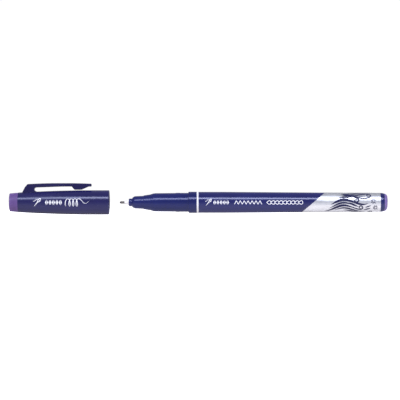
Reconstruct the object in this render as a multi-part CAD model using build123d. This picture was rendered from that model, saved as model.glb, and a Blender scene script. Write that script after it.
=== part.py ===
from build123d import *
import os

# A capped felt-tip fabric marking pen, uncapped, with the cap lying in line in front of the nib.
# Millimetres. X runs along the pen, nib towards -X and tail towards +X. Z is up and the clip is on top.
# Pen stations are counted from the nib's point towards the tail.
# Cap stations are counted from the closed end of the cap shell towards its mouth.

# Pen: stations along the axis
POINT_LENGTH = 0.45
HOLDER_FRONT = 2.2
NOSE_FRONT = 4.25
SHOULDER = 32.56
RING_FRONT = 36.5
BARREL_FRONT = 37.4
TAPER_START = 49.4
FOIL_CUT = 91.7
FOIL_CUT_ANGLE = 49.8
FOIL_END = 123.55
BARREL_END = 125.5
PEN_LENGTH = 126.9

# Pen: radii
NIB_RADIUS = 0.575
HOLDER_TIP_RADIUS = 0.75
HOLDER_STEM_RADIUS = 1.2
HOLDER_BODY_RADIUS = 1.95
NOSE_RADIUS = 1.825
BEAD_RADIUS = 4.575
REAR_LAND_RADIUS = 4.53
COLLAR_RADIUS = 5.07
RING_RADIUS = 5.05
SPIGOT_RADIUS = 3.95
BARREL_RADIUS = 5.0
BARREL_TAIL_RADIUS = 4.475
FOIL_THICKNESS = 0.05
BORE_FRONT_RADIUS = 3.97
BORE_TAIL_RADIUS = 3.5

# Pen: the ink's reservoir and the plug behind it
RESERVOIR_FRONT = 19.0
RESERVOIR_BACK = 111.5
RESERVOIR_RADIUS = 3.15
WRAP_THICKNESS = 0.1
NIB_BACK = 25.0
PLUG_STEM_RADIUS = 3.3
PLUG_FIN_WIDTH = 0.9

# Cap: stations along the axis
CAP_LENGTH = 43.2
CAP_SWEEP_CORNER = 18.0
CAP_BORE_STRAIGHT_START = 19.5
CAP_WALL_END = 1.5
ERASER_LENGTH = 4.15

# Cap: radii
CAP_RADIUS = 5.78
CAP_END_RADIUS = 4.69
CAP_SWEEP_RADIUS = 590.0
CAP_BORE_RADIUS = 4.72
CAP_SNAP_RADIUS = 4.6
CAP_BORE_END_RADIUS = 4.05
STEM_HOLE_RADIUS = 2.5
INNER_CAP_RADIUS = 3.95
INNER_CAP_BORE = 3.28
INNER_CAP_LIP = 3.16
INNER_CAP_MOUTH = 21.6
INNER_CAP_BACK = 6.2
RIB_COUNT = 6
RIB_WIDTH = 0.8

# Clip: stations are the cap's, heights are above the axis
CLIP_FOOT_WIDTH = 3.9
CLIP_TIP_WIDTH = 3.2
CLIP_HEEL = 1.95
CLIP_HEEL_HEIGHT = 4.75
CLIP_TIP = 34.8
CLIP_TOP = 9.18
CLIP_BUMP_HEIGHT = 6.02
CLIP_SLOT_FRONT = 7.65
TANG_FRONT = 2.6
TANG_BACK = 4.2
TANG_WIDTH = 2.2
TANG_DEPTH = 0.85
TANG_CLEARANCE = 0.12

# Where the pieces lie: the origin is under the middle of the whole length, on the surface it rests on
GAP_TO_NIB = 5.0
OVERALL_LENGTH = ERASER_LENGTH + CAP_LENGTH + GAP_TO_NIB + PEN_LENGTH
AXIS_HEIGHT = CAP_RADIUS
CAP_X = ERASER_LENGTH - OVERALL_LENGTH / 2
PEN_X = CAP_X + CAP_LENGTH + GAP_TO_NIB


def turned(outline):
    """Turn a closed outline of (station, radius, corner rounding) about the X axis."""
    points = [(station, radius) for station, radius, _ in outline]
    roundings = [rounding for _, _, rounding in outline]
    profile = FilletPolyline(*points, radius=roundings, close=True)
    return revolve(Plane.XZ * make_face(profile), Axis.X)


def rod(start, end, radius):
    """A cylinder on the X axis."""
    return turned([(start, 0, 0), (start, radius, 0), (end, radius, 0), (end, 0, 0)])


def around(shape, count):
    """Copies of a shape spread evenly about the X axis."""
    return [Rot(X=360 * index / count) * shape for index in range(count)]


def block(start, end, width, low, high):
    """A box on the X axis, centred across Y."""
    middle = Pos((start + end) / 2, 0, (low + high) / 2)
    return middle * Box(end - start, width, high - low)


def barrel_radius(station):
    """Outer radius of the barrel: straight at the front, then a straight taper to the tail."""
    along = max(0.0, (station - TAPER_START) / (BARREL_END - TAPER_START))
    return BARREL_RADIUS + along * (BARREL_TAIL_RADIUS - BARREL_RADIUS)


def nib():
    return turned([
        (0, 0, 0),
        (0, 0.22, 0.08),
        (POINT_LENGTH, NIB_RADIUS, 0.3),
        (NIB_BACK, NIB_RADIUS, 0.2),
        (NIB_BACK, 0, 0),
    ])


def nib_holder():
    body_front = 7.5
    body_back = 13.0
    stub_radius = 1.6
    return turned([
        (HOLDER_FRONT, NIB_RADIUS, 0),
        (HOLDER_FRONT, HOLDER_TIP_RADIUS, 0.1),
        (NOSE_FRONT, HOLDER_STEM_RADIUS, 0),
        (body_front, HOLDER_STEM_RADIUS, 0),
        (body_front, HOLDER_BODY_RADIUS, 0.2),
        (body_back, HOLDER_BODY_RADIUS, 0.2),
        (body_back, stub_radius, 0),
        (RESERVOIR_FRONT, stub_radius, 0.2),
        (RESERVOIR_FRONT, NIB_RADIUS, 0),
    ])


def grip_section():
    seat = 7.5
    throat = 13.2
    spigot_end = 47.4
    bore_radius = RESERVOIR_RADIUS + WRAP_THICKNESS
    return turned([
        (NOSE_FRONT, HOLDER_STEM_RADIUS, 0),
        (NOSE_FRONT, NOSE_RADIUS, 0.45),
        (5.85, NOSE_RADIUS, 0.3),
        (6.0, 2.3, 0.4),
        (7.1, 2.95, 0.7),
        (11.2, 3.12, 0),
        (11.3, 3.3, 0.1),
        (14.5, 3.8, 0.8),
        (15.9, 4.25, 0.5),
        (16.9, 4.38, 2.0),
        (26.3, 4.46, 1.0),
        (27.0, BEAD_RADIUS, 0.6),
        (28.1, BEAD_RADIUS, 0.6),
        (28.7, 4.52, 0.6),
        (SHOULDER, REAR_LAND_RADIUS, 0.15),
        (SHOULDER, COLLAR_RADIUS, 0.3),
        (RING_FRONT, COLLAR_RADIUS, 0.08),
        (RING_FRONT, SPIGOT_RADIUS, 0),
        (spigot_end, SPIGOT_RADIUS, 0.4),
        (spigot_end, bore_radius, 0),
        (RESERVOIR_FRONT - 0.5, bore_radius, 0),
        (throat, HOLDER_BODY_RADIUS, 0),
        (seat, HOLDER_BODY_RADIUS, 0),
        (seat, HOLDER_STEM_RADIUS, 0),
    ])


def accent_ring():
    return turned([
        (RING_FRONT, SPIGOT_RADIUS, 0),
        (RING_FRONT, RING_RADIUS, 0.12),
        (BARREL_FRONT, RING_RADIUS, 0.12),
        (BARREL_FRONT, SPIGOT_RADIUS, 0),
    ])


def barrel():
    rib_start = 60.0
    rib_end = RESERVOIR_BACK - 1
    rounding_start = 124.6
    end_radius = 4.22
    tube = turned([
        (BARREL_FRONT, BORE_FRONT_RADIUS, 0),
        (BARREL_FRONT, BARREL_RADIUS, 0.08),
        (TAPER_START, BARREL_RADIUS, 0),
        (rounding_start, barrel_radius(rounding_start), 1.0),
        (BARREL_END, end_radius, 0),
        (BARREL_END, BORE_TAIL_RADIUS, 0),
        (RESERVOIR_BACK, BORE_TAIL_RADIUS, 0),
        (TAPER_START, BORE_FRONT_RADIUS, 0),
    ])
    wall_middle = turned([
        (rib_start, 0, 0),
        (rib_start, 4.2, 0),
        (rib_end, 3.8, 0),
        (rib_end, 0, 0),
    ])
    core = rod(rib_start, rib_end, RESERVOIR_RADIUS + WRAP_THICKNESS)
    rib = block(rib_start, rib_end, RIB_WIDTH, 0, BARREL_RADIUS)
    ribs = [(strip & wall_middle) - core for strip in around(rib, RIB_COUNT)]
    return tube + ribs


def silver_foil():
    """The foil on the back half of the barrel. Its front edge is a slanted plane's cut."""
    skin_start = FOIL_CUT - 10
    skin = turned([
        (skin_start, barrel_radius(skin_start), 0),
        (skin_start, barrel_radius(skin_start) + FOIL_THICKNESS, 0),
        (FOIL_END, barrel_radius(FOIL_END) + FOIL_THICKNESS, 0),
        (FOIL_END, barrel_radius(FOIL_END), 0),
    ])
    behind_cut = Pos(FOIL_CUT, 0, 0) * Rot(Y=FOIL_CUT_ANGLE) * Pos(50, 0, 0) * Box(100, 100, 100)
    return skin & behind_cut


def ink_reservoir():
    return turned([
        (RESERVOIR_FRONT, NIB_RADIUS, 0),
        (RESERVOIR_FRONT, RESERVOIR_RADIUS, 0),
        (RESERVOIR_BACK, RESERVOIR_RADIUS, 0),
        (RESERVOIR_BACK, 0, 0),
        (NIB_BACK, 0, 0),
        (NIB_BACK, NIB_RADIUS, 0),
    ])


def reservoir_wrap():
    return rod(RESERVOIR_FRONT, RESERVOIR_BACK, RESERVOIR_RADIUS + WRAP_THICKNESS) - rod(
        RESERVOIR_FRONT, RESERVOIR_BACK, RESERVOIR_RADIUS
    )


def tail_plug():
    head_radius = 4.2
    rim_radius = 3.2
    cup_depth = 118.5
    cup_radius = 2.5
    cup = turned([
        (cup_depth, cup_radius, 0.2),
        (cup_depth, PLUG_STEM_RADIUS, 0.3),
        (BARREL_END, BORE_TAIL_RADIUS, 0),
        (BARREL_END, head_radius, 0),
        (126.35, 3.95, 0.5),
        (PEN_LENGTH, rim_radius, 0.3),
        (PEN_LENGTH, 0, 0),
        (BARREL_END, 0, 0),
        (BARREL_END, cup_radius, 0.2),
    ])
    fin = block(RESERVOIR_BACK, BARREL_END, PLUG_FIN_WIDTH, -2.6, 2.6)
    return cup + around(fin, 4)[:2]


def cap_side(allowance):
    """The cap's outer line: one long sweep from the closed end, then straight to the mouth."""
    return [
        (0, CAP_END_RADIUS + allowance, 0),
        (CAP_SWEEP_CORNER, CAP_RADIUS + allowance, CAP_SWEEP_RADIUS),
        (CAP_LENGTH, CAP_RADIUS + allowance, 0.3),
    ]


def cap_outside(allowance):
    """The cap's outer form as a solid, grown by the allowance."""
    return turned([(0, 0, 0), *cap_side(allowance), (CAP_LENGTH, 0, 0)])


def cap_wall():
    """The cap's wall: the snap ring near the mouth, the bore and the hole for the eraser's stem."""
    snap = CAP_LENGTH - 3.3
    return turned([
        *cap_side(0),
        (CAP_LENGTH, CAP_BORE_RADIUS, 0.35),
        (snap + 0.7, CAP_BORE_RADIUS, 0.3),
        (snap + 0.2, CAP_SNAP_RADIUS, 0.3),
        (snap - 0.2, CAP_SNAP_RADIUS, 0.3),
        (snap - 0.7, CAP_BORE_RADIUS, 0.3),
        (CAP_BORE_STRAIGHT_START, CAP_BORE_RADIUS, 0),
        (CAP_WALL_END, CAP_BORE_END_RADIUS, 0.3),
        (CAP_WALL_END, STEM_HOLE_RADIUS, 0),
        (0, STEM_HOLE_RADIUS, 0),
    ])


def cap_ribs():
    """Ribs in the cap's bore that hold the inner cap, with a step that its closed end rests on."""
    rib_end = INNER_CAP_MOUTH - 1
    rib_top = CAP_BORE_RADIUS + 0.2
    seat_radius = 3.1
    hold_radius = INNER_CAP_RADIUS + 0.02
    rib = block(CAP_WALL_END, rib_end, RIB_WIDTH, 0, rib_top)
    core = rod(CAP_WALL_END, INNER_CAP_BACK, seat_radius) + rod(INNER_CAP_BACK, rib_end, hold_radius)
    half_turn = 180 / RIB_COUNT
    return [Rot(X=half_turn) * strip - core for strip in around(rib, RIB_COUNT)]


def cap_shell():
    slot = block(
        TANG_FRONT - TANG_CLEARANCE,
        TANG_BACK + TANG_CLEARANCE,
        TANG_WIDTH + TANG_CLEARANCE,
        CAP_END_RADIUS - 1,
        CAP_RADIUS,
    )
    inside_wall = cap_outside(-0.2)
    ribs = [rib & inside_wall for rib in cap_ribs()]
    return cap_wall() + ribs - slot


def inner_cap():
    wall_end = INNER_CAP_BACK + 0.8
    return turned([
        (INNER_CAP_BACK, 0, 0),
        (INNER_CAP_BACK, INNER_CAP_RADIUS, 0.3),
        (INNER_CAP_MOUTH, INNER_CAP_RADIUS, 0.25),
        (INNER_CAP_MOUTH, INNER_CAP_BORE + 0.25, 0),
        (INNER_CAP_MOUTH - 0.4, INNER_CAP_BORE, 0),
        (INNER_CAP_MOUTH - 0.8, INNER_CAP_LIP, 0.2),
        (INNER_CAP_MOUTH - 1.3, INNER_CAP_LIP, 0.2),
        (INNER_CAP_MOUTH - 1.8, INNER_CAP_BORE, 0),
        (wall_end, INNER_CAP_BORE - 0.15, 0.6),
        (wall_end, 0, 0),
    ])


def eraser_tip():
    head_base_radius = 4.62
    head_end_radius = 4.28
    stem_radius = 2.45
    bulb_radius = 2.8
    return turned([
        (-ERASER_LENGTH, 0, 0),
        (-ERASER_LENGTH, head_end_radius, 0.4),
        (0, head_base_radius, 0.1),
        (0, stem_radius, 0),
        (CAP_WALL_END, stem_radius, 0),
        (CAP_WALL_END, bulb_radius, 0.1),
        (2.6, bulb_radius, 0.4),
        (4.6, 1.9, 0.4),
        (4.6, 0, 0),
    ])


def clip_plan(tip_rounding):
    """The clip seen from above: it narrows a little from the foot to the tip."""
    outline = FilletPolyline(
        (CLIP_HEEL - 1, -CLIP_FOOT_WIDTH / 2),
        (CLIP_TIP, -CLIP_TIP_WIDTH / 2),
        (CLIP_TIP, CLIP_TIP_WIDTH / 2),
        (CLIP_HEEL - 1, CLIP_FOOT_WIDTH / 2),
        radius=[0, tip_rounding, tip_rounding, 0],
        close=True,
    )
    return extrude(make_face(outline), 2 * CLIP_TOP)


def clip():
    root = CAP_END_RADIUS - 0.5
    seat_gap = 0.08
    edge_rounding = 0.3
    outline = [
        (CLIP_HEEL, root, 0),
        (CLIP_HEEL, CLIP_HEEL_HEIGHT, 0),
        (3.25, 7.3, 4.0),
        (4.5, 8.72, 0.9),
        (14.0, CLIP_TOP - 0.04, 200),
        (27.0, CLIP_TOP - 0.03, 200),
        (CLIP_TIP, 8.9, 0.5),
        (CLIP_TIP, 7.52, 0.45),
        (33.4, 7.52, 1.0),
        (30.0, CLIP_BUMP_HEIGHT, 1.5),
        (26.7, CLIP_BUMP_HEIGHT, 0.8),
        (25.4, 7.54, 0.5),
        (20.5, 7.52, 60),
        (CLIP_SLOT_FRONT, 7.05, 0.95),
        (CLIP_SLOT_FRONT, 5.65, 0.5),
        (8.5, 5.3, 0),
        (8.5, root, 0),
    ]
    points = [(station, height) for station, height, _ in outline]
    roundings = [rounding for _, _, rounding in outline]
    side = Plane.XZ * make_face(FilletPolyline(*points, radius=roundings, close=True))
    square_tipped = extrude(side, CLIP_FOOT_WIDTH, both=True) & clip_plan(0)
    flanks = [edge for edge in square_tipped.edges() if abs(edge.center().Y) > CLIP_TIP_WIDTH / 2 - 0.1]
    long_edges = [edge for edge in flanks if edge.center().Z > 6.9]
    arm = fillet(long_edges, edge_rounding) & clip_plan(1.1)
    tang = block(TANG_FRONT, TANG_BACK, TANG_WIDTH, CAP_END_RADIUS + 0.2 - TANG_DEPTH, CAP_RADIUS)
    return arm - cap_outside(seat_gap) + tang


PEN_PIECES = [
    nib,
    nib_holder,
    grip_section,
    accent_ring,
    barrel,
    silver_foil,
    ink_reservoir,
    reservoir_wrap,
    tail_plug,
]
CAP_PIECES = [cap_shell, inner_cap, eraser_tip, clip]

os.makedirs("parts", exist_ok=True)
for piece in PEN_PIECES:
    export_step(Pos(PEN_X, 0, AXIS_HEIGHT) * piece(), f"parts/{piece.__name__}.step")
for piece in CAP_PIECES:
    export_step(Pos(CAP_X, 0, AXIS_HEIGHT) * piece(), f"parts/{piece.__name__}.step")
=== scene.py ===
import bmesh
import bpy
import math
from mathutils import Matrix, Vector
from mathutils.bvhtree import BVHTree


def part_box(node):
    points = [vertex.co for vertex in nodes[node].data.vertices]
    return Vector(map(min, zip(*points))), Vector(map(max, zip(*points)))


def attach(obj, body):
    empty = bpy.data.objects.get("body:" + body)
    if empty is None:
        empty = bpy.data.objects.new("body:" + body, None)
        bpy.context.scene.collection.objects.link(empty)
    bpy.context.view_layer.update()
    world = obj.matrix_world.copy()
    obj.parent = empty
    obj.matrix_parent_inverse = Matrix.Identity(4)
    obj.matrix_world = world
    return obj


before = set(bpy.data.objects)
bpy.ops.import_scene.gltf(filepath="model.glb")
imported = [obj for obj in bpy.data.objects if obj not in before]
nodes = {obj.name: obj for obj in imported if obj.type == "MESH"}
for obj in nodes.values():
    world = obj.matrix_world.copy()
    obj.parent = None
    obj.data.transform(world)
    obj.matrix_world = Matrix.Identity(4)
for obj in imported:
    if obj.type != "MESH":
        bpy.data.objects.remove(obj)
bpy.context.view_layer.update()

# A fabric marking pen, uncapped: materials for the CAD pieces, and the print on cap, barrel and foil.
# Metres throughout. X runs along the pen, Y away from the camera, Z up.
MM = 0.001

# Where things are, from the frame
cap_low, cap_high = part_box("cap_shell")
barrel_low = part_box("barrel")[0]
foil_low, foil_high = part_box("silver_foil")
nib_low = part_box("nib")[0]
eraser_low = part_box("eraser_tip")[0]
AXIS_Z = (cap_low.z + cap_high.z) / 2


# ---------------------------------------------------------------- material building blocks

def add_node(tree, kind, settings=(), **inputs):
    """A new shader node. An input given a socket is linked to it, and any other value is set on it."""
    node = tree.nodes.new("ShaderNode" + kind)
    for name, value in dict(settings).items():
        setattr(node, name, value)
    for name, value in inputs.items():
        socket = node.inputs[name.replace("_", " ")]
        if isinstance(value, bpy.types.NodeSocket):
            tree.links.new(value, socket)
        else:
            socket.default_value = value
    return node


def new_material(name, roughness, **constants):
    """A material with its Principled shader. The constants are the same all over the surface."""
    material = bpy.data.materials.new(name)
    material.use_nodes = True
    shader = material.node_tree.nodes["Principled BSDF"]
    shader.inputs["Roughness"].default_value = roughness
    for socket, value in constants.items():
        shader.inputs[socket.replace("_", " ")].default_value = value
    return material, material.node_tree, shader


def place_mm(tree, stretch=(1, 1, 1)):
    """The place on the piece in millimetres, times a factor for each axis."""
    where = add_node(tree, "TexCoord").outputs["Object"]
    scale = [factor / MM for factor in stretch]
    return add_node(tree, "Mapping", Vector=where, Scale=scale).outputs["Vector"]


def noise(tree, per_mm, stretch=(1, 1, 1), detail=3.0, roughness=0.5):
    """Soft noise from 0 to 1, with about per_mm blobs to a millimetre where stretch is 1."""
    texture = add_node(tree, "TexNoise", Vector=place_mm(tree, stretch), Scale=per_mm, Detail=detail,
                       Roughness=roughness)
    return texture.outputs["Fac"]


def remap(tree, value, low, high, to_low=0.0, to_high=1.0):
    """The value from low to high spread over to_low to to_high, and held there outside."""
    node = add_node(tree, "MapRange", Value=value, From_Min=low, From_Max=high,
                    To_Min=to_low, To_Max=to_high)
    return node.outputs["Result"]


def combine(tree, operation, first, second=0):
    """A Math node of two values. MULTIPLY_ADD adds what is linked to its third input."""
    node = add_node(tree, "Math", {"operation": operation})
    for socket, value in zip(node.inputs, (first, second)):
        if isinstance(value, bpy.types.NodeSocket):
            tree.links.new(value, socket)
        else:
            socket.default_value = value
    return node.outputs[0]


def blend_colours(tree, factor, under, over):
    """The under colour where the factor is 0, the over colour where it is 1."""
    node = add_node(tree, "Mix", {"data_type": "RGBA"})
    tree.links.new(factor, node.inputs[0])
    for socket, colour in ((node.inputs[6], under), (node.inputs[7], over)):
        if isinstance(colour, bpy.types.NodeSocket):
            tree.links.new(colour, socket)
        else:
            socket.default_value = (*colour, 1)
    return node.outputs[2]


def relief(tree, height, depth, under=None):
    """Bump of the given depth in metres, over another bump's normal if there is one."""
    node = add_node(tree, "Bump", Height=height, Distance=depth, Strength=1.0)
    if under is not None:
        tree.links.new(under, node.inputs["Normal"])
    return node.outputs["Normal"]


def edge_mask(tree, width):
    """1 on sharp and rounded-off edges about width wide, and 0 on smooth stretches."""
    smooth, sharp = 0.995, 0.93      # cosine of the angle between the true and the rounded normal
    rounded = add_node(tree, "Bevel", {"samples": 6}, Radius=width).outputs["Normal"]
    true_normal = add_node(tree, "NewGeometry").outputs["Normal"]
    dot = add_node(tree, "VectorMath", {"operation": "DOT_PRODUCT"})
    tree.links.new(rounded, dot.inputs[0])
    tree.links.new(true_normal, dot.inputs[1])
    return remap(tree, dot.outputs["Value"], smooth, sharp)


def along_mask(tree, start, end):
    """0 before the X of start and 1 past the X of end, whichever way they lie."""
    where = add_node(tree, "TexCoord").outputs["Object"]
    along = add_node(tree, "SeparateXYZ", Vector=where).outputs["X"]
    return remap(tree, along, start, end)


# ---------------------------------------------------------------- camera, floor and lights

FLAG_GREY = (0.36, 0.36, 0.38)         # what the gloss mirrors all round
BACKDROP = (1.02, 1.02, 1.02)          # what the lens sees behind the pen
PAPER_FOR_LENS = (0.8, 0.8, 0.8)       # the paper as the lens sees it, overexposed by its glow
GLOW_FOR_LENS = 0.85
PAPER_FOR_PEN = (0.45, 0.45, 0.45)     # the paper as it lights the pen and shows in its gloss, with a painted glow: a pool of light beside the pen, painted shadow under it
GLOW_IN_PAINTED_SHADOW = 0.34                # with a glow that is strongest a little beside the pen
PAINTED_LIGHT_POOL_PEAK = 0.76
PAINTED_LIGHT_POOL_FAR = 0.02
PAINTED_LIGHT_POOL_TINT = (1.08, 1.0, 0.97)


def add_camera():
    """A long lens, level with the pen, a little aside of its middle and above its axis."""
    data = bpy.data.cameras.new("camera")
    data.lens = 162
    data.sensor_width = 36
    data.clip_start = 0.01
    data.clip_end = 100
    aside, back, above_axis = 0.8 * MM, 855 * MM, 1.15 * MM
    camera = bpy.data.objects.new("camera", data)
    camera.location = (aside, -back, AXIS_Z + above_axis)
    camera.rotation_euler = (math.radians(90), 0, 0)
    bpy.context.collection.objects.link(camera)
    bpy.context.scene.camera = camera


def add_area_light(name, place, size, power, tint):
    """A rectangular soft box that faces the middle of the pen. Its power is in watts."""
    data = bpy.data.lights.new(name, "AREA")
    data.shape = "RECTANGLE"
    data.size, data.size_y = size
    data.energy = power
    data.color = tint
    lamp = bpy.data.objects.new(name, data)
    lamp.location = place
    lamp.rotation_euler = (Vector((0, 0, AXIS_Z)) - Vector(place)).to_track_quat("-Z", "Y").to_euler()
    bpy.context.collection.objects.link(lamp)
    return lamp


def add_floor():
    """A wide sheet of white studio paper that the lens sees overexposed, as on a product table."""
    half = 6.0
    drop = 0.2 * MM        # so that it doesn't touch the pen
    mesh = bpy.data.meshes.new("floor")
    corners = [(-half, -half, 0), (half, -half, 0), (half, half, 0), (-half, half, 0)]
    mesh.from_pydata(corners, [], [(0, 1, 2, 3)])
    floor = bpy.data.objects.new("floor", mesh)
    floor.location.z = -drop
    bpy.context.collection.objects.link(floor)
    paper = bpy.data.materials.new("floor_paper")
    paper.use_nodes = True
    tree = paper.node_tree
    shader = tree.nodes["Principled BSDF"]
    shader.inputs["Roughness"].default_value = 0.9
    shader.inputs["Specular IOR Level"].default_value = 0.0
    # For all but the lens the paper glows with painted light, by its distance across from the pen: a
    # painted shadow under the pen, a painted pool of light a little beside it, fading far off, warm
    # tinted.
    where = add_node(tree, "TexCoord").outputs["Object"]
    across = combine(tree, "ABSOLUTE", add_node(tree, "SeparateXYZ", Vector=where).outputs["Y"])
    rise = remap(tree, across, 0.5 * MM, 6 * MM, GLOW_IN_PAINTED_SHADOW, PAINTED_LIGHT_POOL_PEAK)
    fall = remap(tree, across, 8 * MM, 30 * MM, 1, PAINTED_LIGHT_POOL_FAR / PAINTED_LIGHT_POOL_PEAK)
    painted_light_pool = combine(tree, "MULTIPLY", rise, fall)
    seen = add_node(tree, "LightPath").outputs["Is Camera Ray"]
    glow = add_node(tree, "MapRange", Value=seen, To_Min=painted_light_pool, To_Max=GLOW_FOR_LENS)
    glow_colour = blend_colours(tree, seen, PAINTED_LIGHT_POOL_TINT, (1, 1, 1))
    paper_colour = blend_colours(tree, seen, PAPER_FOR_PEN, PAPER_FOR_LENS)
    tree.links.new(glow.outputs["Result"], shader.inputs["Emission Strength"])
    tree.links.new(glow_colour, shader.inputs["Emission Color"])
    tree.links.new(paper_colour, shader.inputs["Base Color"])
    mesh.materials.append(paper)


def add_world():
    """Grey flags all round, which keep the gloss deep, and for the lens alone a white backdrop."""
    world = bpy.data.worlds.new("studio")
    bpy.context.scene.world = world
    world.use_nodes = True
    tree = world.node_tree
    seen = add_node(tree, "LightPath").outputs["Is Camera Ray"]
    surroundings = blend_colours(tree, seen, FLAG_GREY, BACKDROP)
    tree.links.new(surroundings, tree.nodes["Background"].inputs["Color"])


add_camera()
add_floor()
add_world()
add_area_light("strip_light", (0, -0.405, 0.42), (0.9, 0.16), 4.5, (0.87, 0.91, 1.08))
back_fill = add_area_light("back_fill", (0, 0.50, 0.40), (0.9, 0.30), 4.0, (0.92, 0.94, 1.04))
back_fill.visible_glossy = False      # so that it draws no second highlight along the top of the pen
bpy.context.scene.view_settings.view_transform = "Standard"


# ---------------------------------------------------------------- materials

def moulded_plastic(name, colour, pale, roughness, scuffs=1.0, **constants):
    """Glossy injection-moulded plastic: faint flow mottling, the soft ripple of a polished mould,
    finger smudges that dull the gloss, hairline scratches along and across, and edges rubbed pale."""
    material, tree, shader = new_material(name, roughness, **constants)
    mottle = remap(tree, noise(tree, 0.16, (0.5, 1, 1), 4.0), 0.3, 0.7)
    deep = [channel * 0.86 for channel in colour]
    light = [channel * 1.12 for channel in colour]
    body = blend_colours(tree, mottle, deep, light)

    patchy = remap(tree, noise(tree, 1.3, detail=5.0), 0.42, 0.62)
    rubbed = combine(tree, "MULTIPLY", edge_mask(tree, 0.22 * MM), patchy)
    worn = combine(tree, "MULTIPLY", rubbed, 0.55 * scuffs)
    tree.links.new(blend_colours(tree, worn, body, pale), shader.inputs["Base Color"])

    lengthways = remap(tree, noise(tree, 2.6, (0.05, 1, 1), 3.0, 0.5), 0.60, 0.74)
    slanting = remap(tree, noise(tree, 1.9, (1, 0.12, 0.9), 3.0, 0.5), 0.62, 0.76)
    scratches = combine(tree, "MAXIMUM", lengthways, slanting)
    smudges = remap(tree, noise(tree, 0.11, (0.7, 1, 1), 5.0, 0.6), 0.38, 0.72, 0.0, 0.14)
    dulled = combine(tree, "ADD", smudges, roughness)
    scratched = combine(tree, "MULTIPLY_ADD", scratches, 0.12 * scuffs)
    tree.links.new(dulled, scratched.node.inputs[2])
    matted = combine(tree, "MULTIPLY_ADD", rubbed, 0.22)
    tree.links.new(scratched, matted.node.inputs[2])
    tree.links.new(matted, shader.inputs["Roughness"])

    ripple = relief(tree, noise(tree, 0.35, detail=2.0), 0.006 * MM)
    marks = relief(tree, scratches, -0.0005 * MM * scuffs, ripple)
    tree.links.new(marks, shader.inputs["Normal"])
    return material


def eraser_rubber():
    """Violet rubber: matte with a fine grain, and smeared paler where its end and rim are rubbed."""
    material, tree, shader = new_material("eraser_rubber", 0.55, Specular_IOR_Level=0.35)
    grain = noise(tree, 5.0, detail=6.0, roughness=0.65)
    mottle = remap(tree, noise(tree, 0.5, detail=4.0), 0.3, 0.7)
    body = blend_colours(tree, mottle, (0.095, 0.050, 0.187), (0.118, 0.065, 0.226))
    end = along_mask(tree, eraser_low.x + 0.9 * MM, eraser_low.x)
    smears = remap(tree, noise(tree, 0.8, (1, 1, 0.3), 5.0), 0.42, 0.66)
    rubbed = combine(tree, "MULTIPLY", combine(tree, "MAXIMUM", end, edge_mask(tree, 0.3 * MM)), smears)
    faded = combine(tree, "MULTIPLY", rubbed, 0.6)
    tree.links.new(blend_colours(tree, faded, body, (0.30, 0.21, 0.42)), shader.inputs["Base Color"])
    tree.links.new(remap(tree, grain, 0.3, 0.7, 0.42, 0.66), shader.inputs["Roughness"])
    waves = relief(tree, noise(tree, 0.7, detail=2.0), 0.010 * MM)
    tree.links.new(relief(tree, grain, 0.006 * MM, waves), shader.inputs["Normal"])
    return material


def stamped_foil():
    """Hot-stamped silver foil: streaks along the roller's path, soft crinkle from the barrel below,
    a haze of handling, and pinholes near its edges where the foil has not taken."""
    material, tree, shader = new_material("stamped_silver_foil", 0.3, Metallic=0.85)
    streaks = noise(tree, 1.4, (0.06, 1, 1), 6.0, 0.6)
    silver = blend_colours(tree, remap(tree, streaks, 0.3, 0.7), (0.62, 0.64, 0.68), (0.78, 0.79, 0.82))
    near_front = along_mask(tree, foil_low.x + 13 * MM, foil_low.x)
    near_back = along_mask(tree, foil_high.x - 1.2 * MM, foil_high.x)
    near_edge = combine(tree, "MAXIMUM", near_front, near_back)
    specks = remap(tree, noise(tree, 6.5, detail=2.0), 0.70, 0.74)
    holes = combine(tree, "MULTIPLY", specks, near_edge)
    tree.links.new(blend_colours(tree, holes, silver, (0.05, 0.05, 0.12)), shader.inputs["Base Color"])
    haze = remap(tree, noise(tree, 0.13, detail=5.0, roughness=0.6), 0.35, 0.7, 0.26, 0.40)
    streaky = combine(tree, "MULTIPLY_ADD", streaks, 0.10)
    tree.links.new(haze, streaky.node.inputs[2])
    tree.links.new(streaky, shader.inputs["Roughness"])
    crinkle = relief(tree, noise(tree, 0.8, detail=4.0), 0.005 * MM)
    tree.links.new(relief(tree, streaks, 0.0008 * MM, crinkle), shader.inputs["Normal"])
    return material


def felt_nib():
    """A bundle of dense grey fibres, darker with ink and slightly blunted at the point."""
    material, tree, shader = new_material("felt_nib", 0.75, Specular_IOR_Level=0.25)
    fibres = noise(tree, 9.0, (0.06, 1, 1), 4.0, 0.6)
    bundle = remap(tree, fibres, 0.35, 0.65)
    dry = blend_colours(tree, bundle, (0.080, 0.073, 0.070), (0.20, 0.185, 0.18))
    inked = along_mask(tree, nib_low.x + 1.0 * MM, nib_low.x + 0.1 * MM)
    wet = combine(tree, "MULTIPLY", inked, 0.75)
    tree.links.new(blend_colours(tree, wet, dry, (0.034, 0.026, 0.045)), shader.inputs["Base Color"])
    tree.links.new(remap(tree, fibres, 0.3, 0.7, 0.60, 0.85), shader.inputs["Roughness"])
    tree.links.new(relief(tree, fibres, 0.012 * MM), shader.inputs["Normal"])
    return material


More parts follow.
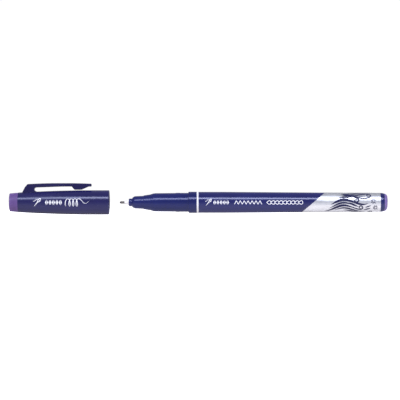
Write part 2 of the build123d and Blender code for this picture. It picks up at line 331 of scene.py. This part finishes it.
def ink_fibre():
    """The reservoir's polyester wadding, soaked with violet ink unevenly along its length."""
    material, tree, shader = new_material("ink_soaked_fibre", 0.8, Sheen_Weight=0.3)
    strands = noise(tree, 5.0, (0.03, 1, 1), 5.0, 0.6)
    soaked = remap(tree, noise(tree, 0.08, detail=3.0), 0.35, 0.65)
    ink = blend_colours(tree, soaked, (0.055, 0.020, 0.130), (0.120, 0.055, 0.240))
    lint = remap(tree, strands, 0.45, 0.75, 0.0, 0.5)
    tree.links.new(blend_colours(tree, lint, ink, (0.22, 0.14, 0.36)), shader.inputs["Base Color"])
    tree.links.new(remap(tree, strands, 0.3, 0.7, 0.7, 0.9), shader.inputs["Roughness"])
    tree.links.new(relief(tree, strands, 0.03 * MM), shader.inputs["Normal"])
    return material


def wrap_film():
    """Thin milky film round the reservoir, with fine wrinkles and an ink blush."""
    material, tree, shader = new_material("milky_film", 0.3, Coat_Weight=0.2)
    wrinkles = noise(tree, 1.2, (0.3, 1, 1), 5.0, 0.6)
    blush = remap(tree, noise(tree, 0.06, detail=3.0), 0.4, 0.7, 0.0, 0.6)
    milky = blend_colours(tree, blush, (0.66, 0.66, 0.72), (0.45, 0.38, 0.60))
    tree.links.new(milky, shader.inputs["Base Color"])
    tree.links.new(remap(tree, wrinkles, 0.3, 0.7, 0.22, 0.42), shader.inputs["Roughness"])
    tree.links.new(relief(tree, wrinkles, 0.02 * MM), shader.inputs["Normal"])
    return material


def screen_ink(name, colour, through, gloss):
    """Screen-printed ink: a slightly grainy film, thinner in spots where what is below shows through."""
    material, tree, shader = new_material(name, 0.4, Specular_IOR_Level=gloss)
    thin = remap(tree, noise(tree, 3.2, detail=6.0, roughness=0.7), 0.62, 0.80, 0.0, 0.5)
    tree.links.new(blend_colours(tree, thin, colour, through), shader.inputs["Base Color"])
    grain = noise(tree, 7.0, detail=3.0)
    tree.links.new(remap(tree, grain, 0.3, 0.7, 0.34, 0.48), shader.inputs["Roughness"])
    tree.links.new(relief(tree, grain, 0.002 * MM), shader.inputs["Normal"])
    return material


def wear(material, name):
    """Give a CAD node this material in place of its own."""
    data = nodes[name].data
    data.materials.clear()
    data.materials.append(material)


CAP_NAVY = (0.012, 0.011, 0.075)
CLIP_NAVY = (0.009, 0.007, 0.060)
BARREL_NAVY = (0.009, 0.011, 0.095)
SECTION_BLUE = (0.007, 0.011, 0.092)
RUBBED_NAVY = (0.14, 0.15, 0.30)
BLUE_GLOSS = (0.72, 0.76, 1.0, 1)
PALE_BLUE_GLOSS = (0.80, 0.83, 1.0, 1)
RING_WHITE, RUBBED_RING = (0.77, 0.77, 0.79), (0.86, 0.86, 0.86)
HOLDER_WHITE, RUBBED_HOLDER = (0.76, 0.745, 0.735), (0.86, 0.86, 0.86)
CUP_WHITE, RUBBED_CUP = (0.76, 0.76, 0.77), (0.85, 0.85, 0.85)
PLUG_VIOLET, RUBBED_PLUG = (0.185, 0.130, 0.345), (0.42, 0.36, 0.58)

wear(moulded_plastic("navy_cap_plastic", CAP_NAVY, RUBBED_NAVY, 0.16,
                     Specular_Tint=PALE_BLUE_GLOSS), "cap_shell")
wear(moulded_plastic("navy_clip_plastic", CLIP_NAVY, RUBBED_NAVY, 0.18,
                     Specular_IOR_Level=0.35), "clip")
wear(moulded_plastic("navy_barrel_plastic", BARREL_NAVY, RUBBED_NAVY, 0.13,
                     Specular_IOR_Level=0.62, Specular_Tint=PALE_BLUE_GLOSS), "barrel")
wear(moulded_plastic("navy_section_plastic", SECTION_BLUE, RUBBED_NAVY, 0.16,
                     Specular_Tint=BLUE_GLOSS), "grip_section")
wear(moulded_plastic("white_plastic", RING_WHITE, RUBBED_RING, 0.30, 0.5), "accent_ring")
wear(moulded_plastic("holder_plastic", HOLDER_WHITE, RUBBED_HOLDER, 0.34, 0.5), "nib_holder")
wear(moulded_plastic("soft_white_plastic", CUP_WHITE, RUBBED_CUP, 0.45, 0.5), "inner_cap")
wear(moulded_plastic("violet_plug_plastic", PLUG_VIOLET, RUBBED_PLUG, 0.26,
                     Subsurface_Weight=0.15, Subsurface_Scale=0.6 * MM), "tail_plug")
wear(eraser_rubber(), "eraser_tip")
wear(stamped_foil(), "silver_foil")
wear(felt_nib(), "nib")
wear(ink_fibre(), "ink_reservoir")
wear(wrap_film(), "reservoir_wrap")


# ---------------------------------------------------------------- print

PRINT_LIFT = 0.025 * MM       # top of the ink above the surface
PRINT_ROOT = 0.03 * MM        # how far the ink's underside is sunk, so that no gap shows
OVERPRINT = 0.004 * MM        # how much higher one stroke lies where it crosses another
FOIL_THICKNESS = 0.05 * MM
CELLS_ACROSS = 4              # a stroke's width is bent round the surface in this many steps


class Skin:
    """The outer surface of a turned CAD node. A place on it is (along, around) in metres from a middle
    on the side that faces the camera, around growing upwards."""

    def __init__(self, node, middle):
        mesh = nodes[node].data
        corners = [vertex.co for vertex in mesh.vertices]
        self.surface = BVHTree.FromPolygons(corners, [face.vertices for face in mesh.polygons])
        self.middle = middle
        self.wrap_radius = self.radius(middle)

    def radius(self, x):
        """Distance from the axis to the surface at x: the most over a fan of rays, since facets dip."""
        outside = 20 * MM
        reach = 0
        for degrees in range(-12, 13, 3):
            turn = math.radians(degrees)
            outward = Vector((0, -math.cos(turn), math.sin(turn)))
            hit = self.surface.ray_cast(Vector((x, 0, AXIS_Z)) + outward * outside, -outward)
            reach = max(reach, outside - hit[3])
        return reach

    def place(self, along, around, lift):
        """The point in space that lies lift above a place on the surface."""
        turn = around / self.wrap_radius
        reach = self.radius(self.middle + along) + lift
        return Vector((self.middle + along, -reach * math.cos(turn), AXIS_Z + reach * math.sin(turn)))


def draw(work, skin, path, half_width, steps=14, lift=PRINT_LIFT):
    """Add one stroke of ink to a bmesh: a closed strip along path(t), half_width(t) each side of it."""
    nudge = 0.01      # of the path, each way, to tell which way it runs
    tops, bottoms = [], []
    for index in range(steps + 1):
        t = (1 - math.cos(math.pi * index / steps)) / 2
        here = Vector(path(t))
        run = Vector(path(min(t + nudge, 1))) - Vector(path(max(t - nudge, 0)))
        side = Vector((-run.y, run.x)).normalized() * half_width(t)
        row = [here + side * (2 * cell / CELLS_ACROSS - 1) for cell in range(CELLS_ACROSS + 1)]
        tops.append([work.verts.new(skin.place(point.x, point.y, lift)) for point in row])
        bottoms.append([work.verts.new(skin.place(point.x, point.y, -PRINT_ROOT)) for point in row])
    for index in range(steps):
        for layer in (tops, bottoms):
            for cell in range(CELLS_ACROSS):
                near, far = layer[index], layer[index + 1]
                work.faces.new((near[cell], near[cell + 1], far[cell + 1], far[cell]))
        for cell in (0, CELLS_ACROSS):
            work.faces.new((tops[index][cell], tops[index + 1][cell],
                            bottoms[index + 1][cell], bottoms[index][cell]))
    for index in (0, steps):
        for cell in range(CELLS_ACROSS):
            top, bottom = tops[index], bottoms[index]
            work.faces.new((top[cell], top[cell + 1], bottom[cell + 1], bottom[cell]))


def blunt(half):
    """A width that is even along the stroke, with rounded ends."""
    return lambda t: half * max(0.12, 1 - abs(2 * t - 1) ** 8) ** 0.5


def pointed(half):
    """A width that swells in the middle and runs out to fine points."""
    return lambda t: half * max(0.05, math.sin(math.pi * t)) ** 0.8


def trailing(half):
    """A width that starts full and runs out to a fine point."""
    return lambda t: half * max(0.08, 1 - t) ** 0.7


def line(start, end):
    """A straight path from one place to another."""
    return lambda t: (start[0] + t * (end[0] - start[0]), start[1] + t * (end[1] - start[1]))


def finish_print(work, name, material, body):
    """Turn the strokes in a bmesh into a piece that rides on a body."""
    bmesh.ops.recalc_face_normals(work, faces=work.faces)
    mesh = bpy.data.meshes.new(name)
    work.to_mesh(mesh)
    work.free()
    mesh.materials.append(material)
    piece = bpy.data.objects.new(name, mesh)
    bpy.context.collection.objects.link(piece)
    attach(piece, body)


def needle_and_thread(work, skin, left, height):
    """A slanted sewing needle with a thread through its eye."""
    slant = math.radians(50)
    along = Vector((math.cos(slant), math.sin(slant)))
    across = Vector((-math.sin(slant), math.cos(slant)))
    eye = Vector((left + 0.72 * height, 0.26 * height))
    eye_reach, eye_half = 0.25 * height, 0.115 * height

    def eye_loop(t):
        turn = 2 * math.pi * t
        return eye + along * eye_reach * math.cos(turn) + across * eye_half * math.sin(turn)

    def thread(t):
        return eye + Vector((height * (0.20 - 0.92 * t), 0.13 * height * math.sin(6.6 * t - 1.4)))

    shank = eye - along * eye_reach
    point = shank - along * 0.72 * height
    draw(work, skin, eye_loop, lambda t: 0.036 * height, 32)
    draw(work, skin, line(shank, point), trailing(0.062 * height))
    draw(work, skin, thread, blunt(0.026 * height), 24, PRINT_LIFT + OVERPRINT)


def patchwork(work, skin, left, pitch, height, count):
    """A row of quilting diamonds, each of two triangles with a seam's gap between them."""
    gap = 0.08 * pitch
    reach = 0.36 * pitch
    for index in range(count):
        middle = left + pitch * (index + 0.5)
        left_half = line((middle - gap - reach, 0), (middle - gap, 0))
        right_half = line((middle + gap, 0), (middle + gap + reach, 0))
        draw(work, skin, left_half, lambda t: 0.5 * height * t, 6)
        draw(work, skin, right_half, lambda t: 0.5 * height * (1 - t), 6)


def zigzag_stitches(work, skin, left, pitch, height, count, half):
    """A zigzag of separate stitches, each laid over the end of the one before."""
    for index in range(2 * count):
        start = left + pitch * index / 2
        up = height / 2 if index % 2 else -height / 2
        leg = line((start, up), (start + pitch / 2, -up))
        draw(work, skin, leg, blunt(half), 10, PRINT_LIFT + OVERPRINT * (index % 2))


def chain_stitches(work, skin, left, pitch, height, count, half):
    """A row of drop-shaped loops, each starting inside the one before."""
    for index in range(count):
        start = left + pitch * index

        def loop(t, start=start):
            turn = 2 * math.pi * t
            along = start + 0.53 * pitch * (1 - math.cos(turn))
            return (along, 0.5 * height * math.sin(turn) * math.sin(turn / 2))

        draw(work, skin, loop, lambda t: half, 28, PRINT_LIFT + OVERPRINT * (index % 2))


def looped_thread(work, skin, left, length, height, loops, half):
    """A thread that runs in loops, as if off a bobbin, and then trails away in a shallow wave."""
    looped = 0.62 * length
    pitch = looped / loops
    turns = loops - 0.5        # so that the last loop ends at its top, heading along the thread
    loops_end = left + pitch * turns

    def coil(t):
        turn = 2 * math.pi * turns * t
        along = left + pitch * turns * t - 0.42 * pitch * math.sin(turn)
        return (along, -0.5 * height * math.cos(turn))

    def tail(t):
        wave = 0.5 * (1 - t * t) * math.cos(1.2 * math.pi * t) + 0.2 * t * t
        return (loops_end + (left + length - loops_end) * t, height * wave)

    draw(work, skin, coil, lambda t: half * (1 - 0.35 * math.cos(4 * math.pi * turns * t)), 44 * loops)
    draw(work, skin, tail, trailing(1.1 * half), 24)


def print_cap():
    """White stitch motifs on the side of the cap that faces the camera."""
    work = bmesh.new()
    skin = Skin("cap_shell", cap_low.x + 7.4 * MM)
    needle_and_thread(work, skin, 0, 4.0 * MM)
    patchwork(work, skin, 5.6 * MM, 1.64 * MM, 2.3 * MM, 5)
    looped_thread(work, skin, 15.6 * MM, 11.0 * MM, 3.2 * MM, 4, 0.13 * MM)
    finish_print(work, "cap_print", white_ink, "cap")


def print_barrel():
    """White stitch motifs along the barrel, on the side that faces the camera."""
    work = bmesh.new()
    skin = Skin("barrel", barrel_low.x + 3.0 * MM)
    needle_and_thread(work, skin, 0, 3.4 * MM)
    patchwork(work, skin, 3.8 * MM, 1.54 * MM, 2.1 * MM, 5)
    zigzag_stitches(work, skin, 13.9 * MM, 1.86 * MM, 1.8 * MM, 7, 0.15 * MM)
    chain_stitches(work, skin, 29.2 * MM, 1.88 * MM, 2.3 * MM, 9, 0.15 * MM)
    finish_print(work, "barrel_print", white_ink, "pen")


def current(start, length, offset):
    """One line of a stream along the foil. Every line sways alike, so that they run side by side."""
    sway, wave, climb = 1.5 * MM, 19.0 * MM, 0.05

    def path(t):
        along = start + length * t
        return (along, offset + climb * along - sway * math.cos(2 * math.pi * along / wave))
    return path


def crest(stream, radius, side):
    """A stream's line that winds up at its end in a spiral, to its left where side is 1."""
    share = 0.5       # of the path that is still the stream's own
    turns = 1.35
    end = Vector(stream(1))
    heading = (end - Vector(stream(0.98))).normalized()
    inwards = side * Vector((-heading.y, heading.x))
    centre = end + radius * inwards

    def path(t):
        if t < share:
            return stream(t / share)
        wound = (t - share) / (1 - share)
        turn = side * 2 * math.pi * turns * wound
        out = Vector((-inwards.x * math.cos(turn) + inwards.y * math.sin(turn),
                      -inwards.x * math.sin(turn) - inwards.y * math.cos(turn)))
        return centre + radius * (1 - 0.78 * wound) * out
    return path


def starburst(work, skin, centre, lift):
    """Seven short drops of ink that stand round a middle, each a little longer than the last."""
    for drop in range(7):
        turn = math.radians(20 + 48 * drop)
        outwards = Vector((math.cos(turn), math.sin(turn)))
        near, far = 0.35 * MM, (1.1 + 0.08 * drop) * MM
        path = line(centre + near * outwards, centre + far * outwards)
        draw(work, skin, path, pointed(0.24 * MM), 8, lift)


def print_foil():
    """Bands of tapering stream lines with curled crests and starbursts, twice round the barrel."""
    lines = [  # where it starts, its length, its offset round the barrel and its half width, in mm
        (0.5, 14.5, -3.4, 0.60), (2.6, 11.6, -2.1, 0.44), (5.0, 15.0, -4.7, 0.46),
        (9.5, 10.5, -6.0, 0.50), (3.6, 11.6, -0.65, 0.74), (6.6, 6.4, 0.6, 0.40),
        (11.0, 10.4, -0.4, 0.50), (8.8, 5.0, 1.5, 0.46), (11.6, 5.2, -1.8, 0.44),
        (8.6, 11.4, 2.6, 0.50), (11.6, 8.4, 3.7, 0.34), (12.6, 9.0, 5.0, 0.44),
        (15.6, 7.0, 6.4, 0.36), (19.1, 3.4, -3.3, 0.36), (19.6, 3.0, -2.0, 0.30),
    ]
    crests = [  # the same, then the radius of the curl and the side that it turns to
        (9.0, 8.4, -3.3, 0.33, 1.20, 1), (8.0, 8.0, 2.2, 0.38, 1.20, -1), (16.0, 5.8, 2.4, 0.32, 1.15, 1),
    ]
    bursts = [(23.7, 0.7), (24.7, -2.6), (22.4, -5.9)]      # along the barrel and round it, in mm
    work = bmesh.new()
    skin = Skin("barrel", foil_high.x - 27.2 * MM)
    half_round = math.pi * skin.wrap_radius
    lines_top = FOIL_THICKNESS + PRINT_LIFT
    crests_top = lines_top + 4 * OVERPRINT
    bursts_top = lines_top + 6 * OVERPRINT
    layer = 0.3 * OVERPRINT        # each line lies this much higher than the one before
    for side in (0, half_round):
        for order, (start, length, offset, half) in enumerate(lines):
            stream = current(start * MM, length * MM, offset * MM + side)
            draw(work, skin, stream, pointed(half * MM), 30, lines_top + layer * order)
        for order, (start, length, offset, half, radius, turned) in enumerate(crests):
            stream = current(start * MM, length * MM, offset * MM + side)
            path = crest(stream, radius * MM, turned)
            draw(work, skin, path, pointed(half * MM), 90, crests_top + layer * order)
        for along, around in bursts:
            starburst(work, skin, Vector((along * MM, around * MM + side)), bursts_top)
    finish_print(work, "foil_stream", navy_ink, "pen")


white_ink = screen_ink("white_screen_ink", (0.86, 0.86, 0.88), (0.40, 0.40, 0.52), 0.4)
navy_ink = screen_ink("navy_screen_ink", (0.016, 0.018, 0.066), (0.08, 0.08, 0.17), 0.2)
print_cap()
print_barrel()
print_foil()
